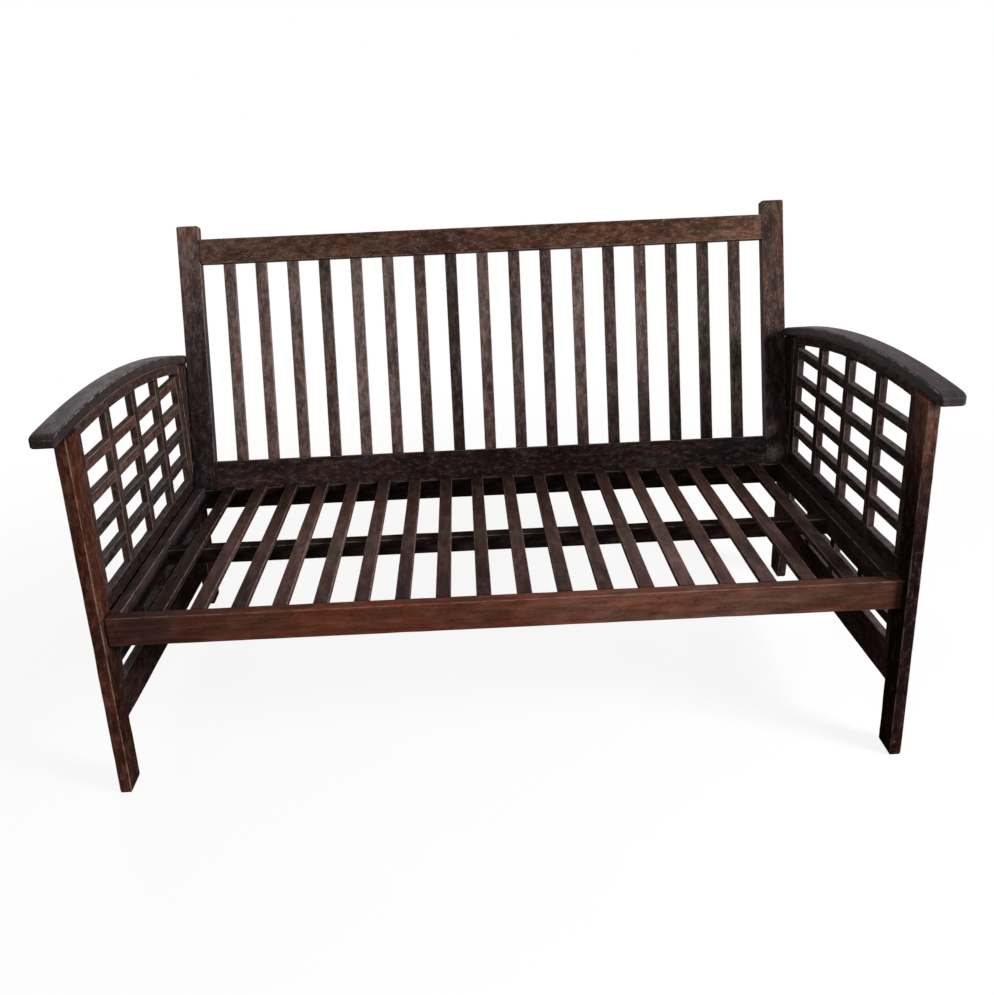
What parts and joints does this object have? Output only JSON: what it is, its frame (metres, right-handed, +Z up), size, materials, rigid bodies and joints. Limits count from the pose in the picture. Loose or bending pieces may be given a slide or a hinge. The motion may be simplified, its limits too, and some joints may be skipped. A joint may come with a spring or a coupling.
{
  "type": "slatted settle",
  "caption": "Low wooden settle with a slatted seat, a leaning slatted back and arched armrests over open lattice sides.",
  "frame": {"origin": "on the floor, under the middle of the settle's bounding box", "axes": "+X across the settle to its right-hand arm as seen from the front, +Y from the front to the back, +Z up"},
  "size_m": [1.382, 0.8954, 0.8241],
  "materials": {
    "arm_wood": "satin dark stain, worn at the edges",
    "seat_wood": "satin dark stain, worn at the edges",
    "back_wood": "satin dark stain, worn at the edges",
    "bolt_steel": "dull darkened steel"
  },
  "bodies": {
    "root": {"left_front_post": "arm_wood", "left_rear_post": "arm_wood", "left_armrest": "arm_wood", "left_arch_rail": "arm_wood", "left_middle_rail": "arm_wood", "left_bottom_rail": "arm_wood", "left_lattice": "arm_wood", "right_front_post": "arm_wood", "right_rear_post": "arm_wood", "right_armrest": "arm_wood", "right_arch_rail": "arm_wood", "right_middle_rail": "arm_wood", "right_bottom_rail": "arm_wood", "right_lattice": "arm_wood", "seat_front_rail": "seat_wood", "seat_rear_rail": "seat_wood", "seat_left_rail": "seat_wood", "seat_right_rail": "seat_wood", "seat_centre_beam": "seat_wood", "seat_slat_01": "seat_wood", "seat_slat_02": "seat_wood", "seat_slat_03": "seat_wood", "seat_slat_04": "seat_wood", "seat_slat_05": "seat_wood", "seat_slat_06": "seat_wood", "seat_slat_07": "seat_wood", "seat_slat_08": "seat_wood", "seat_slat_09": "seat_wood", "seat_slat_10": "seat_wood", "seat_slat_11": "seat_wood", "seat_slat_12": "seat_wood", "seat_slat_13": "seat_wood", "seat_slat_14": "seat_wood", "seat_slat_15": "seat_wood", "seat_slat_16": "seat_wood", "seat_slat_17": "seat_wood", "seat_slat_18": "seat_wood", "back_left_stile": "back_wood", "back_right_stile": "back_wood", "back_top_rail": "back_wood", "back_lower_rail": "back_wood", "back_slat_01": "back_wood", "back_slat_02": "back_wood", "back_slat_03": "back_wood", "back_slat_04": "back_wood", "back_slat_05": "back_wood", "back_slat_06": "back_wood", "back_slat_07": "back_wood", "back_slat_08": "back_wood", "back_slat_09": "back_wood", "back_slat_10": "back_wood", "back_slat_11": "back_wood", "back_slat_12": "back_wood", "back_slat_13": "back_wood", "back_slat_14": "back_wood", "back_slat_15": "back_wood", "back_slat_16": "back_wood", "back_slat_17": "back_wood", "seat_bolts": "bolt_steel", "back_bolts": "bolt_steel"}
  },
  "joints": []
}
